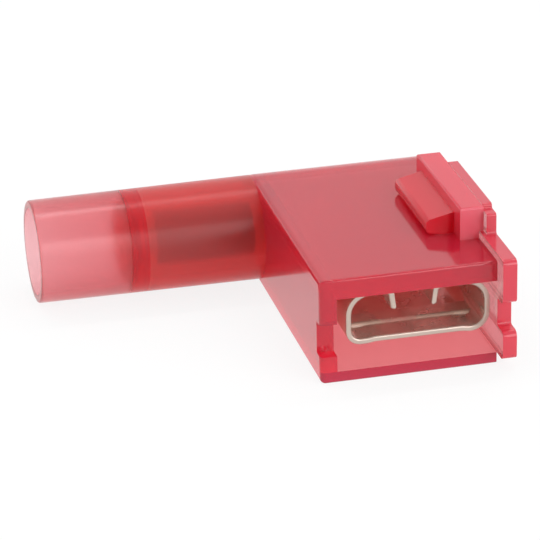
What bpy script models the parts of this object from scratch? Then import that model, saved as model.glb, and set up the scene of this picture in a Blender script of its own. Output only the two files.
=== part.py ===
"""Flag spade terminal: a fully insulated push-on receptacle for a 6.3 mm tab.

The tab goes in at the front (-Y) and the wire leaves at the left (-X), through
the tube. The origin is on the underside, at the middle of the flat footprint of
the box, with +Z up. Sizes are in metres.
"""
import math

import bmesh
import bpy
from mathutils import Matrix, Vector

MM = 0.001

# Housing, one nylon moulding
BOX_DEPTH = 14.40 * MM
WALL_LEFT = 0.89 * MM
WALL_TOP = 1.09 * MM
WALL_BOTTOM = 0.62 * MM
WALL_REAR = 0.82 * MM
EDGE_RADIUS = 0.30 * MM
FRONT_EDGE_RADIUS = 0.15 * MM
EDGE_STEPS = 4
NOTCH_DEPTH = 0.72 * MM
NOTCH_HEIGHT = 1.78 * MM
NOTCH_ABOVE_FLOOR = 0.86 * MM

# Insulation tube, turned about an axis along X
TUBE_LENGTH = 12.18 * MM
TUBE_WALL = 0.405 * MM
TUBE_TAPER = 0.14 * MM
TUBE_BELOW_BOX_TOP = 0.015 * MM
TUBE_RIM_RADIUS = 0.12 * MM
WIRE_BORE = 4.74 * MM
WIRE_BORE_TAPER = 0.14 * MM
WIRE_BORE_DEPTH = 4.93 * MM
FUNNEL_THROAT = 1.96 * MM
FUNNEL_LENGTH = 0.50 * MM
THROAT_LENGTH = 0.45 * MM
TUBE_STEPS = 56

# Latch block and side finger on top of the box
BLOCK_HEIGHT = 1.73 * MM
BLOCK_WIDTH = 1.05 * MM
BLOCK_LENGTH = 8.03 * MM
BLOCK_FROM_FRONT = 3.10 * MM
BLOCK_EDGE = 0.14 * MM
FINGER_REACH = 1.50 * MM
FINGER_LENGTH = 5.90 * MM
FINGER_FROM_BLOCK_FRONT = 1.09 * MM
FINGER_ROOT_HEIGHT = 1.20 * MM
FINGER_TIP_HEIGHT = 0.82 * MM
FINGER_NOSE = 0.30 * MM
FINGER_RELIEF = 0.06 * MM
FINGER_FOOT = 1.00 * MM

# Side cover, snapped on
SEAM = 0.10 * MM
COVER_THICKNESS = 0.66 * MM
COVER_RAIL = 0.36 * MM
COVER_BOTTOM = 0.72 * MM
COVER_EDGE = 0.16 * MM
COVER_CORNER = 0.30 * MM
RAIL_END = 0.80 * MM
UPPER_TAB_REACH = 0.93 * MM
UPPER_TAB_BOTTOM = 3.68 * MM
LOWER_TAB_REACH = 1.00 * MM
LOWER_TAB_TOP = 2.14 * MM
UPRIGHT_THICKNESS = 0.53 * MM
UPRIGHT_LENGTH = 7.00 * MM
UPRIGHT_FROM_FRONT = 2.64 * MM
LEDGE_LENGTH = 0.78 * MM
LEDGE_DROP = 0.25 * MM
PEG_RADIUS = 0.30 * MM
PEG_LENGTH = 0.85 * MM
PEG_CLEARANCE = 0.08 * MM
PEG_BELOW_TOP = 0.42 * MM
PEG_END_DISTANCE = 1.40 * MM

# Terminal, one stamping of tin-plated brass
STOCK = 0.32 * MM
RECEPTACLE_WIDTH = 7.65 * MM
RECEPTACLE_HEIGHT = 2.92 * MM
RECEPTACLE_LENGTH = 6.35 * MM
RECEPTACLE_SETBACK = 0.85 * MM
RECEPTACLE_BELOW_CEILING = 0.13 * MM
RECEPTACLE_TO_LEFT_WALL = 0.70 * MM
RECEPTACLE_TO_COVER = 0.21 * MM
ROLL_RADIUS = 0.85 * MM
ROLL_TOP_RADIUS = 1.15 * MM
TIP_BEND = 0.30 * MM
TIP_DROP = 1.17 * MM
TIP_GAP = 2.13 * MM
TIP_OFFSET = -0.23 * MM
TIP_SLANT = 0.10 * MM
STRAP_WIDTH = 3.30 * MM
STRAP_NECK = 0.90 * MM
STRAP_ARM = 2.60 * MM
STRAP_CORNER = 1.40 * MM
BARREL_OUTER = 2.92 * MM
BARREL_WALL = 0.42 * MM
BARREL_IN_BOX = 1.00 * MM
BARREL_CLEARANCE = 0.12 * MM
BARREL_END_GAP = 0.12 * MM
BARREL_CHAMFER = 0.16 * MM
BARREL_STEPS = 40
BARREL_WRAP = math.radians(78.0)
NECK_LENGTH = 1.80 * MM
NECK_OVERLAP = 0.50 * MM

# Places that follow from the sizes
TUBE_OUTER_AT_END = WIRE_BORE + 2 * TUBE_WALL
TUBE_OUTER_AT_BOX = TUBE_OUTER_AT_END + TUBE_TAPER
WIRE_BORE_AT_FUNNEL = WIRE_BORE - WIRE_BORE_TAPER
BOX_HEIGHT = TUBE_OUTER_AT_BOX + 2 * TUBE_BELOW_BOX_TOP
BOX_WIDTH = WALL_LEFT + RECEPTACLE_TO_LEFT_WALL + RECEPTACLE_WIDTH + RECEPTACLE_TO_COVER - SEAM
FRONT = -BOX_DEPTH / 2
LEFT = -BOX_WIDTH / 2
RIGHT = BOX_WIDTH / 2
TUBE_RADIUS = TUBE_OUTER_AT_BOX / 2
TUBE_Y = BOX_DEPTH / 2
TUBE_Z = BOX_HEIGHT / 2
BORE_RADIUS = BARREL_OUTER / 2 + BARREL_CLEARANCE
FUNNEL_BOTTOM = TUBE_LENGTH - WIRE_BORE_DEPTH
SHOULDER = FUNNEL_BOTTOM - FUNNEL_LENGTH - THROAT_LENGTH
COVER_INNER = RIGHT + SEAM
COVER_OUTER = COVER_INNER + COVER_THICKNESS
COVER_TOP = BOX_HEIGHT + COVER_RAIL
BLOCK_FRONT = FRONT + BLOCK_FROM_FRONT
BLOCK_REAR = BLOCK_FRONT + BLOCK_LENGTH
BLOCK_LEFT = RIGHT - BLOCK_WIDTH
BLOCK_RIGHT = COVER_OUTER - UPRIGHT_THICKNESS - SEAM
BLOCK_TOP = BOX_HEIGHT + BLOCK_HEIGHT
UPRIGHT_FRONT = FRONT + UPRIGHT_FROM_FRONT
UPRIGHT_REAR = UPRIGHT_FRONT + UPRIGHT_LENGTH
PEG_Z = BOX_HEIGHT - PEG_BELOW_TOP
PEG_PLACES = (BLOCK_FRONT + PEG_END_DISTANCE, BLOCK_REAR - PEG_END_DISTANCE)
RECEPTACLE_RIGHT = COVER_INNER - RECEPTACLE_TO_COVER
RECEPTACLE_LEFT = RECEPTACLE_RIGHT - RECEPTACLE_WIDTH
RECEPTACLE_X = (RECEPTACLE_LEFT + RECEPTACLE_RIGHT) / 2
RECEPTACLE_FRONT = FRONT + RECEPTACLE_SETBACK
RECEPTACLE_REAR = RECEPTACLE_FRONT + RECEPTACLE_LENGTH
RECEPTACLE_TOP = BOX_HEIGHT - WALL_TOP - RECEPTACLE_BELOW_CEILING
RECEPTACLE_BOTTOM = RECEPTACLE_TOP - RECEPTACLE_HEIGHT
FLOOR_MIDDLE = RECEPTACLE_BOTTOM + STOCK / 2
NECK_START = LEFT + WALL_LEFT + BARREL_IN_BOX

# Rotations that stand a flat outline up
ALONG_X = Matrix(((0, 0, 1, 0), (1, 0, 0, 0), (0, 1, 0, 0), (0, 0, 0, 1)))
ALONG_Y = Matrix(((1, 0, 0, 0), (0, 0, -1, 0), (0, 1, 0, 0), (0, 0, 0, 1)))
ALONG_TUBE = Matrix.Rotation(-math.pi / 2, 4, "Y")


def clear_scene():
    for item in list(bpy.data.objects):
        bpy.data.objects.remove(item, do_unlink=True)


def new_collection(name):
    collection = bpy.data.collections.new(name)
    bpy.context.scene.collection.children.link(collection)
    return collection


def new_material(name, colour, roughness, metallic, transmission=0.0, ior=1.5):
    material = bpy.data.materials.new(name)
    material.use_nodes = True
    shader = material.node_tree.nodes["Principled BSDF"]
    shader.inputs["Base Color"].default_value = (*colour, 1.0)
    shader.inputs["Roughness"].default_value = roughness
    shader.inputs["Metallic"].default_value = metallic
    shader.inputs["Transmission Weight"].default_value = transmission
    shader.inputs["IOR"].default_value = ior
    material.diffuse_color = (*colour, 1.0)
    return material


def arc_points(centre, radius, start, end, steps):
    """Points on an arc in a plane, from the start angle to the end angle."""
    points = []
    for step in range(steps + 1):
        angle = start + (end - start) * step / steps
        points.append((centre[0] + radius * math.cos(angle), centre[1] + radius * math.sin(angle)))
    return points


def rounded(points, radii, steps=4):
    """A closed outline with each corner replaced by an arc of its own radius."""
    result = []
    count = len(points)
    for index in range(count):
        corner = Vector(points[index])
        radius = radii[index]
        if radius <= 0:
            result.append(tuple(corner))
            continue
        before = (Vector(points[index - 1]) - corner).normalized()
        after = (Vector(points[(index + 1) % count]) - corner).normalized()
        half = before.angle(after) / 2
        reach = radius / math.tan(half)
        centre = corner + (before + after).normalized() * (radius / math.sin(half))
        first = corner + before * reach - centre
        last = corner + after * reach - centre
        turn = first.angle_signed(last)
        base = math.atan2(first.y, first.x)
        for step in range(steps + 1):
            angle = base - turn * step / steps
            result.append((centre.x + radius * math.cos(angle), centre.y + radius * math.sin(angle)))
    return result


def mesh_from(source, name, collection):
    """A mesh object with the evaluated shape of a curve or a modified object."""
    graph = bpy.context.evaluated_depsgraph_get()
    mesh = bpy.data.meshes.new_from_object(source.evaluated_get(graph))
    mesh.transform(source.matrix_world)
    bpy.data.objects.remove(source, do_unlink=True)
    bm = bmesh.new()
    bm.from_mesh(mesh)
    bmesh.ops.remove_doubles(bm, verts=bm.verts, dist=1e-7)
    bmesh.ops.recalc_face_normals(bm, faces=bm.faces)
    bm.to_mesh(mesh)
    bm.free()
    item = bpy.data.objects.new(name, mesh)
    collection.objects.link(item)
    return item


def extruded(name, outline, start, end, stand, collection):
    """A flat outline given thickness, from start to end along its own axis."""
    curve = bpy.data.curves.new(name, "CURVE")
    curve.dimensions = "2D"
    curve.fill_mode = "BOTH"
    curve.extrude = abs(end - start) / 2
    spline = curve.splines.new("POLY")
    spline.points.add(len(outline) - 1)
    for point, (across, up) in zip(spline.points, outline):
        point.co = (across, up, 0, 1)
    spline.use_cyclic_u = True
    item = bpy.data.objects.new(name, curve)
    collection.objects.link(item)
    middle = (start + end) / 2
    item.matrix_world = stand @ Matrix.Translation((0, 0, middle if stand == ALONG_X else -middle))
    bpy.context.view_layer.update()
    return mesh_from(item, name, collection)


def turned(name, profile, steps, place, collection, closed=False):
    """A profile of (radius, distance) points turned about the tube's axis."""
    mesh = bpy.data.meshes.new(name)
    edges = [(index, index + 1) for index in range(len(profile) - 1)]
    if closed:
        edges.append((len(profile) - 1, 0))
    mesh.from_pydata([(radius, 0, height) for radius, height in profile], edges, [])
    item = bpy.data.objects.new(name, mesh)
    collection.objects.link(item)
    screw = item.modifiers.new("Turn", "SCREW")
    screw.axis = "Z"
    screw.angle = 2 * math.pi
    screw.steps = steps
    screw.render_steps = steps
    screw.use_merge_vertices = True
    screw.merge_threshold = 1e-7
    item.matrix_world = Matrix.Translation(place) @ ALONG_TUBE
    bpy.context.view_layer.update()
    return mesh_from(item, name, collection)


def block_between(name, low, high, collection):
    """A plain rectangular solid between two corners."""
    mesh = bpy.data.meshes.new(name)
    bm = bmesh.new()
    bmesh.ops.create_cube(bm, size=1.0)
    low = Vector(low)
    high = Vector(high)
    size = high - low
    bmesh.ops.scale(bm, vec=size, verts=bm.verts)
    bmesh.ops.translate(bm, vec=(low + high) / 2, verts=bm.verts)
    bm.to_mesh(mesh)
    bm.free()
    item = bpy.data.objects.new(name, mesh)
    collection.objects.link(item)
    return item


def round_edges(item, weight, radius, steps):
    """Round the sharp edges to a radius times the weight given for each edge."""
    bm = bmesh.new()
    bm.from_mesh(item.data)
    layer = bm.edges.layers.float.new("bevel_weight_edge")
    for edge in bm.edges:
        if edge.calc_face_angle(0) > math.radians(35):
            edge[layer] = weight(edge.verts[0].co, edge.verts[1].co)
    bm.to_mesh(item.data)
    bm.free()
    bevel = item.modifiers.new("Round edges", "BEVEL")
    bevel.limit_method = "WEIGHT"
    bevel.offset_type = "OFFSET"
    bevel.width = radius
    bevel.segments = steps
    bevel.use_clamp_overlap = True


def combine(item, tool, operation):
    """Join to, or cut from, an object with another solid that becomes a guide."""
    modifier = item.modifiers.new(operation.title() + " " + tool.name, "BOOLEAN")
    modifier.operation = operation
    modifier.solver = "EXACT"
    modifier.object = tool
    tool.hide_render = True
    tool.display_type = "WIRE"


def finish(item, material, smooth=35.0):
    item.data.materials.clear()
    item.data.materials.append(material)
    item.data.shade_smooth()
    item.data.set_sharp_from_angle(angle=math.radians(smooth))


def box_outline(front, rear_centre, bottom, top, steps):
    """Side view of a box whose rear is half round."""
    radius = (top - bottom) / 2
    middle = (top + bottom) / 2
    rear = arc_points((rear_centre, middle), radius, -math.pi / 2, math.pi / 2, steps)
    return [(front, top), (front, bottom)] + rear


def housing_shell(collection):
    outline = box_outline(FRONT, TUBE_Y, 0, BOX_HEIGHT, 32)
    shell = extruded("housing", outline, LEFT, RIGHT, ALONG_X, collection)

    def outer_edge(first, second):
        at_left = abs(first.x - LEFT) < 1e-6 and abs(second.x - LEFT) < 1e-6
        at_front = abs(first.y - FRONT) < 1e-6 and abs(second.y - FRONT) < 1e-6
        along = abs(first.x - second.x) > 1e-4
        if at_left:
            return 1.0
        return FRONT_EDGE_RADIUS / EDGE_RADIUS if at_front and along else 0.0

    round_edges(shell, outer_edge, EDGE_RADIUS, EDGE_STEPS)
    return shell


def tube_solid(collection):
    end = TUBE_OUTER_AT_END / 2
    rim = arc_points((end - TUBE_RIM_RADIUS, TUBE_LENGTH - TUBE_RIM_RADIUS), TUBE_RIM_RADIUS,
                     math.pi / 2, 0, 3)
    profile = [(0, TUBE_LENGTH)] + rim + [(TUBE_RADIUS, 0), (TUBE_RADIUS, -0.6 * WALL_LEFT)]
    profile.append((0, -0.6 * WALL_LEFT))
    return turned("insulation_tube", profile, TUBE_STEPS, (LEFT, TUBE_Y, TUBE_Z), collection)


def bore_cutter(collection):
    """Wire bore, funnel, throat and the seat of the barrel, as one stepped hole."""
    past = 0.5 * MM
    mouth = WIRE_BORE / 2
    narrow = WIRE_BORE_AT_FUNNEL / 2
    throat = FUNNEL_THROAT / 2
    profile = [(0, TUBE_LENGTH + past), (mouth, TUBE_LENGTH + past), (mouth, TUBE_LENGTH)]
    profile.append((narrow, FUNNEL_BOTTOM))
    for step in range(1, 6):
        share = step / 5
        radius = narrow + (throat - narrow) * math.sin(share * math.pi / 2)
        height = FUNNEL_BOTTOM - FUNNEL_LENGTH * (1 - math.cos(share * math.pi / 2))
        profile.append((radius, height))
    profile += [(throat, SHOULDER), (BORE_RADIUS, SHOULDER)]
    profile += [(BORE_RADIUS, -WALL_LEFT - past), (0, -WALL_LEFT - past)]
    return turned("bore_cutter", profile, TUBE_STEPS, (LEFT, TUBE_Y, TUBE_Z), collection)


def cavity_cutter(collection):
    """Room for the terminal, open at the front and at the right side."""
    past = 1.0 * MM
    top = BOX_HEIGHT - WALL_TOP
    middle = (top + WALL_BOTTOM) / 2
    radius = (top - WALL_BOTTOM) / 2
    centre = TUBE_Y + BOX_HEIGHT / 2 - WALL_REAR - radius
    rear = arc_points((centre, middle), radius, -math.pi / 2, math.pi / 2, 20)
    outline = [(FRONT - past, top), (FRONT - past, WALL_BOTTOM)] + rear
    return extruded("cavity_cutter", outline, LEFT + WALL_LEFT, RIGHT + past, ALONG_X, collection)


def notch_cutter(collection):
    past = 1.0 * MM
    bottom = WALL_BOTTOM + NOTCH_ABOVE_FLOOR
    return block_between("notch_cutter", (LEFT - past, FRONT - past, bottom),
                         (LEFT + WALL_LEFT + past, FRONT + NOTCH_DEPTH, bottom + NOTCH_HEIGHT),
                         collection)


def latch_block(collection):
    """Block that stands on the top wall and laps over the rail of the cover."""
    root = BOX_HEIGHT - 0.4 * WALL_TOP
    lap = COVER_TOP + SEAM
    outline = [(BLOCK_LEFT, BLOCK_TOP), (BLOCK_LEFT, root), (RIGHT, root), (RIGHT, lap)]
    outline += [(BLOCK_RIGHT, lap), (BLOCK_RIGHT, BLOCK_TOP)]
    block = extruded("latch_block", outline, BLOCK_FRONT, BLOCK_REAR, ALONG_Y, collection)

    def upper_edge(first, second):
        return float(first.z > BLOCK_TOP - 1e-6 and second.z > BLOCK_TOP - 1e-6)

    round_edges(block, upper_edge, BLOCK_EDGE, 3)
    return block


def side_finger(collection):
    """Finger beside the block, with a round nose that stands clear of the top."""
    into = 0.25 * MM
    left = BLOCK_LEFT - FINGER_REACH
    under = BOX_HEIGHT + FINGER_RELIEF
    foot = BLOCK_LEFT - FINGER_FOOT
    outline = [(left, BOX_HEIGHT + FINGER_TIP_HEIGHT), (left, under), (foot, under)]
    outline += [(foot, BOX_HEIGHT - into), (BLOCK_LEFT + into, BOX_HEIGHT - into)]
    outline += [(BLOCK_LEFT + into, BOX_HEIGHT + FINGER_ROOT_HEIGHT)]
    radii = [FINGER_NOSE, FINGER_NOSE, FINGER_RELIEF / 2, 0, 0, 0]
    front = BLOCK_FRONT + FINGER_FROM_BLOCK_FRONT
    return extruded("side_finger", rounded(outline, radii), front, front + FINGER_LENGTH,
                    ALONG_Y, collection)


def peg_hole(y, collection):
    radius = PEG_RADIUS + PEG_CLEARANCE
    depth = PEG_LENGTH + PEG_CLEARANCE
    outline = arc_points((y, PEG_Z), radius, 0, 2 * math.pi * 19 / 20, 19)
    return extruded("peg_hole", outline, RIGHT - depth, RIGHT + SEAM / 2, ALONG_X, collection)


def make_housing(collection, cutters, material):
    shell = housing_shell(collection)
    combine(shell, tube_solid(cutters), "UNION")
    combine(shell, latch_block(cutters), "UNION")
    combine(shell, side_finger(cutters), "UNION")
    combine(shell, cavity_cutter(cutters), "DIFFERENCE")
    combine(shell, bore_cutter(cutters), "DIFFERENCE")
    combine(shell, notch_cutter(cutters), "DIFFERENCE")
    for y in PEG_PLACES:
        combine(shell, peg_hole(y, cutters), "DIFFERENCE")
    finish(shell, material)
    return shell


def cover_plate(collection):
    """Plate that closes the right side, with two tabs in front and an upright on top."""
    radius = BOX_HEIGHT / 2
    upper = FRONT - UPPER_TAB_REACH
    lower = FRONT - LOWER_TAB_REACH
    rail_end = TUBE_Y - RAIL_END
    ledge = BLOCK_TOP - LEDGE_DROP
    step = UPRIGHT_FRONT + LEDGE_LENGTH
    outline = [(rail_end, BOX_HEIGHT), (rail_end, COVER_TOP), (UPRIGHT_REAR, COVER_TOP)]
    outline += [(UPRIGHT_REAR, BLOCK_TOP), (step, BLOCK_TOP), (step, ledge)]
    outline += [(UPRIGHT_FRONT, ledge), (UPRIGHT_FRONT, COVER_TOP), (upper, COVER_TOP)]
    outline += [(upper, UPPER_TAB_BOTTOM), (FRONT, UPPER_TAB_BOTTOM)]
    outline += [(FRONT, LOWER_TAB_TOP), (lower, LOWER_TAB_TOP), (lower, COVER_BOTTOM)]
    outline += [(TUBE_Y, COVER_BOTTOM)]
    corner = COVER_CORNER
    small = COVER_CORNER / 2
    radii = [0, small, small / 2, COVER_EDGE, COVER_EDGE, small / 2, COVER_EDGE, small / 2]
    radii += [corner, corner, small, small, corner, corner, 0]
    points = rounded(outline, radii, 5)
    low = math.asin((COVER_BOTTOM - TUBE_Z) / radius)
    points += arc_points((TUBE_Y, TUBE_Z), radius, low, math.pi / 2, 20)
    plate = extruded("side_cover", points, COVER_INNER, COVER_OUTER, ALONG_X, collection)

    def outside(first, second):
        return float(abs(first.x - COVER_OUTER) < 1e-6 and abs(second.x - COVER_OUTER) < 1e-6)

    round_edges(plate, outside, COVER_EDGE / 2, 2)
    return plate


def upright_relief(collection):
    """Sets the upright's inner face back, to clear the latch block."""
    past = 0.5 * MM
    return block_between("upright_relief",
                         (COVER_INNER - past, UPRIGHT_FRONT - past, COVER_TOP + SEAM / 5),
                         (COVER_OUTER - UPRIGHT_THICKNESS, UPRIGHT_REAR + past,
                          BLOCK_TOP + past), collection)


def cover_peg(y, collection):
    outline = arc_points((y, PEG_Z), PEG_RADIUS, 0, 2 * math.pi * 19 / 20, 19)
    return extruded("cover_peg", outline, RIGHT - PEG_LENGTH, COVER_INNER + 0.3 * COVER_THICKNESS,
                    ALONG_X, collection)


def make_side_cover(collection, cutters, material):
    plate = cover_plate(collection)
    combine(plate, upright_relief(cutters), "DIFFERENCE")
    for y in PEG_PLACES:
        combine(plate, cover_peg(y, cutters), "UNION")
    finish(plate, material)
    return plate


def roll_path():
    """Middle line of the rolled sheet, seen from the front, left tip to right tip."""
    bend = ROLL_RADIUS - STOCK / 2
    over = ROLL_TOP_RADIUS - STOCK / 2
    top = RECEPTACLE_TOP - STOCK / 2
    bottom = FLOOR_MIDDLE
    left = RECEPTACLE_LEFT + STOCK / 2
    right = RECEPTACLE_RIGHT - STOCK / 2
    tip_left = RECEPTACLE_X + TIP_OFFSET - TIP_GAP / 2
    tip_right = RECEPTACLE_X + TIP_OFFSET + TIP_GAP / 2
    tip_end = RECEPTACLE_TOP - TIP_DROP
    path = [(tip_left, tip_end), (tip_left - TIP_SLANT / 2, (tip_end + top - TIP_BEND) / 2)]
    path += arc_points((tip_left - TIP_SLANT - TIP_BEND, top - TIP_BEND), TIP_BEND,
                       0, math.pi / 2, 5)
    path += arc_points((left + over, top - over), over, math.pi / 2, math.pi, 9)
    path += arc_points((left + bend, bottom + bend), bend, math.pi, 3 * math.pi / 2, 9)
    path += arc_points((right - bend, bottom + bend), bend, -math.pi / 2, 0, 9)
    path += arc_points((right - over, top - over), over, 0, math.pi / 2, 9)
    path += arc_points((tip_right + TIP_SLANT + TIP_BEND, top - TIP_BEND), TIP_BEND,
                       math.pi / 2, math.pi, 5)
    path += [(tip_right + TIP_SLANT / 2, (tip_end + top - TIP_BEND) / 2), (tip_right, tip_end)]
    return path


def sheet(name, rows, thickness, collection):
    """A sheet through rows of points, with the stock's thickness about its middle."""
    bm = bmesh.new()
    grid = [[bm.verts.new(point) for point in row] for row in rows]
    for upper, lower in zip(grid, grid[1:]):
        for index in range(len(upper) - 1):
            bm.faces.new((upper[index], upper[index + 1], lower[index + 1], lower[index]))
    bmesh.ops.recalc_face_normals(bm, faces=bm.faces)
    mesh = bpy.data.meshes.new(name)
    bm.to_mesh(mesh)
    bm.free()
    item = bpy.data.objects.new(name, mesh)
    collection.objects.link(item)
    solidify = item.modifiers.new("Stock", "SOLIDIFY")
    solidify.thickness = thickness
    solidify.offset = 0
    solidify.use_even_offset = True
    bpy.context.view_layer.update()
    return mesh_from(item, name, collection)


def receptacle_body(collection):
    path = roll_path()
    rows = [[(x, y, z) for x, z in path] for y in (RECEPTACLE_FRONT, RECEPTACLE_REAR)]
    return sheet("terminal", rows, STOCK, collection)


def strap(collection):
    """Flat strap behind the receptacle, which turns left towards the barrel."""
    left = RECEPTACLE_X - STRAP_WIDTH / 2
    right = RECEPTACLE_X + STRAP_WIDTH / 2
    front = RECEPTACLE_REAR - 0.4 * MM
    rear = TUBE_Y + STRAP_ARM / 2
    arm_front = TUBE_Y - STRAP_ARM / 2
    arm_end = NECK_START + NECK_LENGTH + 0.1 * MM
    outline = [(left - STRAP_NECK, front), (right + STRAP_NECK, front)]
    outline += [(right + STRAP_NECK, RECEPTACLE_REAR), (right, RECEPTACLE_REAR + STRAP_NECK)]
    outline += [(right, rear), (arm_end, rear), (arm_end, arm_front), (left, arm_front)]
    outline += [(left, RECEPTACLE_REAR + STRAP_NECK), (left - STRAP_NECK, RECEPTACLE_REAR)]
    soft = STRAP_CORNER / 2
    radii = [0, 0, soft / 3, soft, STRAP_CORNER, 0, 0, soft, soft, soft / 3]
    points = rounded(outline, radii, 5)
    low = RECEPTACLE_BOTTOM
    flat = extruded("strap", points, low, low + STOCK, Matrix.Identity(4), collection)
    shift = (low + STOCK / 2) * 2
    flat.data.transform(Matrix.Translation((0, 0, shift)))
    return flat


def barrel(collection):
    """Round barrel that takes the wire, with a chamfered mouth."""
    outer = BARREL_OUTER / 2
    inner = outer - BARREL_WALL
    start = SHOULDER - BARREL_END_GAP
    end = -WALL_LEFT - BARREL_IN_BOX
    profile = [(inner + BARREL_CHAMFER, start), (outer - BARREL_CHAMFER / 2, start)]
    profile += [(outer, start - BARREL_CHAMFER / 2), (outer, end), (inner, end)]
    profile += [(inner, start - BARREL_CHAMFER)]
    return turned("barrel", profile, BARREL_STEPS, (LEFT, TUBE_Y, TUBE_Z), collection, closed=True)


def barrel_neck(collection):
    """Formed neck that turns from the flat strap into the lower half of the barrel."""
    radius = BARREL_OUTER / 2 - BARREL_WALL / 2
    places = [(NECK_START - NECK_OVERLAP, 0.0)]
    for step in range(11):
        share = step / 10
        places.append((NECK_START + NECK_LENGTH * share, share * share * (3 - 2 * share)))
    places.append((NECK_START + NECK_LENGTH + NECK_OVERLAP, 1.0))
    rows = []
    for x, blend in places:
        row = []
        for place in range(13):
            across = -1 + place / 6
            angle = across * BARREL_WRAP
            round_y = radius * math.sin(angle)
            round_z = TUBE_Z - radius * math.cos(angle)
            flat_y = across * (STRAP_ARM - 0.04 * MM) / 2
            y = TUBE_Y + round_y + (flat_y - round_y) * blend
            row.append((x, y, round_z + (FLOOR_MIDDLE - round_z) * blend))
        rows.append(row)
    return sheet("barrel_neck", rows, STOCK * 0.98, collection)


def make_terminal(collection, cutters, material):
    body = receptacle_body(collection)
    combine(body, strap(cutters), "UNION")
    combine(body, barrel_neck(cutters), "UNION")
    combine(body, barrel(cutters), "UNION")
    finish(body, material)
    return body


def main():
    clear_scene()
    parts = new_collection("flag_spade_terminal")
    cutters = new_collection("guides_and_cutters")
    nylon = new_material("red nylon", (0.62, 0.02, 0.035), 0.12, 0.0, 0.6, 1.53)
    cover_nylon = new_material("red nylon cover", (0.66, 0.025, 0.045), 0.14, 0.0, 0.6, 1.53)
    tin = new_material("tin plated brass", (0.72, 0.67, 0.60), 0.28, 1.0)
    make_housing(parts, cutters, nylon)
    make_side_cover(parts, cutters, cover_nylon)
    make_terminal(parts, cutters, tin)


main()
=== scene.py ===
"""Looks for the flag spade terminal: a glossy, see-through red nylon moulding with its
side cover, and the tin-plated stamping inside. The tab enters along +Y and the wire
along +X, and +Z is up. The object stands on its flat underside.
"""

import math
from contextlib import contextmanager

import bmesh
import bpy
from bpy.props import FloatProperty, FloatVectorProperty, IntProperty, PointerProperty
from bpy.types import Operator, Panel, PropertyGroup
from mathutils import Matrix, Vector


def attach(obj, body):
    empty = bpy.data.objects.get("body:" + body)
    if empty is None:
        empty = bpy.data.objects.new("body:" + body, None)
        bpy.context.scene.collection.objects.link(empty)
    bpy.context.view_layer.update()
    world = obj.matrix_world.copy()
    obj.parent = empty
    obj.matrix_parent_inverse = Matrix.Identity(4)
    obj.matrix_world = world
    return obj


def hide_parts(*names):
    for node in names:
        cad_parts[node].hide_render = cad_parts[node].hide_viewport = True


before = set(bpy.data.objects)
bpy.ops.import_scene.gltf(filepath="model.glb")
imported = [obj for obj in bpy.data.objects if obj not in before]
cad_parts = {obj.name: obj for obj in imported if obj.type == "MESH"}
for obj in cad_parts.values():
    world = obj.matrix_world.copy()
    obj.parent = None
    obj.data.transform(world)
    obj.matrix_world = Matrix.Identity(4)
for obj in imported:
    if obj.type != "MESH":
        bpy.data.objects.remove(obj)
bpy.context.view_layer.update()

bl_info = {
    "name": "Flag Spade Terminal",
    "version": (1, 0, 0),
    "blender": (4, 5, 0),
    "location": "View3D > Sidebar > Terminal",
    "description": "Builds the moulded housing, its side cover and the stamped terminal",
    "category": "Object",
}

MM = 0.001

# Two places closer than this are the same, and the second also allows for cuts
HAIR = 1e-6
CLOSE = 1e-5

# Places of the housing's skins in its list of materials
BOX, INSIDE, THIN, TUBE, EDGE, SILL, THROAT, FINGER, LIT_FRONT, GLOW_WALLS = range(10)

# Name, colour setting, roughness, clearness and milk setting of each skin, and what else differs
HOUSING_SKINS = (
    ("red nylon", "box_nylon", 0.11, 0.72, "nylon_milk", {}),
    # Painted light: a pale pink skin for the cavity's floor, a glow of light through the milky wall
    ("red nylon inside", "inner_nylon", 0.30, 0.90, "nylon_milk", {}),
    ("red nylon thin", "clear_nylon", 0.24, 1.0, "tube_milk", {}),
    ("red nylon tube", "tube_nylon", 0.26, 0.82, "tube_milk",
     {"gloss": 0.15, "share": 0.35, "bend": 1.38}),
    ("red nylon edge", "edge_nylon", 0.18, 0.45, "nylon_milk", {"gloss": 0.32}),
    ("red nylon sill", "sill_nylon", 0.11, 0.20, "nylon_milk", {}),
    ("red nylon throat", "throat_nylon", 0.26, 0.80, "tube_milk", {"gloss": 0.3, "bend": 1.42}),
    ("red nylon finger", "finger_nylon", 0.20, 0.50, "nylon_milk", {"gloss": 0.32}),
    # Painted light: a lighter copy of the edge nylon for the block's forward faces
    ("red nylon nose", "lit_front_nylon", 0.18, 0.35, "nylon_milk", {}),
    # Painted light: a near white skin that makes the cavity's walls, ceiling and rear glow
    ("red nylon recess", "glow_wall_nylon", 0.30, 0.50, "nylon_milk", {}),
)
COVER_SKINS = (
    ("red nylon cover edge", "edge_nylon", 0.14, 0.50, "nylon_milk", {}),
    ("red nylon cover", "clear_nylon", 0.15, 1.0, "nylon_milk", {"share": 0.55}),
)

# How often light may turn inside the nylon
BOUNCES = {"max_bounces": 48, "transmission_bounces": 32, "volume_bounces": 32,
           "diffuse_bounces": 8, "glossy_bounces": 12}

# Places of the terminal's metals in its list of materials
# The second and fourth metals are tin with painted shade: on the barrel inside the tube, and inside
# the receptacle
PLATE, BARREL_SHADE, CUT, SHADED = range(4)

# Name, colour setting, roughness, height of the relief in metres, and gloss of each metal
METALS = (
    ("tin plate", "tin", 0.22, 3e-6, 0.5),
    # Painted shade: the barrel is tin like the rest, coloured near black where the tube's nylon
    # shades it
    ("dark barrel", "barrel", 0.60, 3e-6, 0.0),
    ("cut edge", "cut", 0.30, 6e-6, 0.5),
    # Painted shade: a darker copy of the tin for the faces turned into the receptacle
    ("shaded tin", "shaded_tin", 0.26, 3e-6, 0.5),
)


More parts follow.
